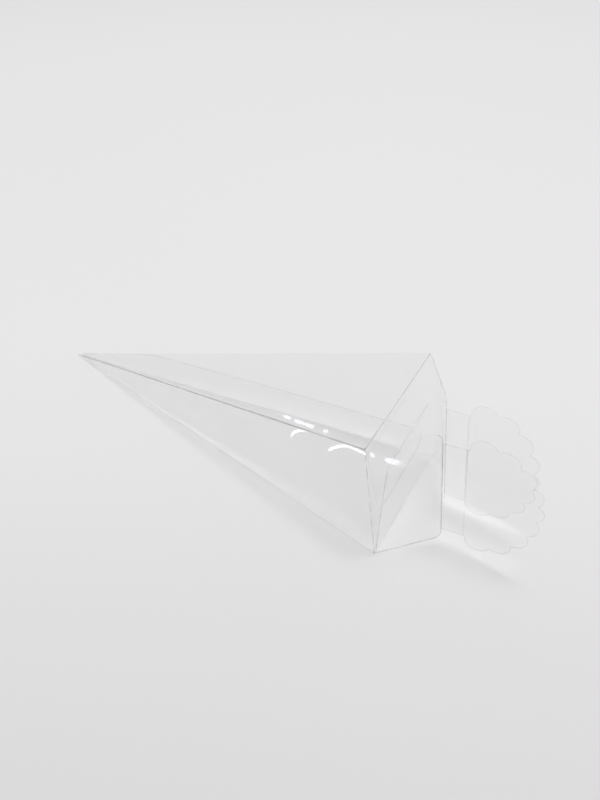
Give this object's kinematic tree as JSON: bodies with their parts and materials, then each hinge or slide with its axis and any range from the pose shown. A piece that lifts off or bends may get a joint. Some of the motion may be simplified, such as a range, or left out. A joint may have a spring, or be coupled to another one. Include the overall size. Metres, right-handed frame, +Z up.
{
  "type": "cone box",
  "caption": "Tapering square cone of clear film lying on its side, with folded dust flaps and half lids that carry scalloped crests.",
  "frame": {"origin": "on the underside of the bottom panel, on its middle line, 120 mm from the tip", "axes": "+X along the bottom panel from the tip towards the mouth, +Y to the back half lid, +Z up from the surface it lies on"},
  "size_m": [0.2465, 0.06, 0.0648],
  "materials": {
    "film": "clear gloss film"
  },
  "bodies": {
    "cone": {"cone": "film"},
    "front_lid": {"front_half_lid": "film"},
    "back_lid": {"back_half_lid": "film"}
  },
  "joints": [
    {"name": "front_lid_crease", "type": "hinge", "parent": "cone", "child": "front_lid", "pos_m": [0.06814, -0.02985, 0.02965], "axis": [0.1533, 0, -0.9882], "range_deg": [-9, 110]},
    {"name": "back_lid_crease", "type": "hinge", "parent": "cone", "child": "back_lid", "pos_m": [0.06814, 0.02985, 0.02965], "axis": [-0.1533, 0, 0.9882], "range_deg": [-4, 120]}
  ]
}
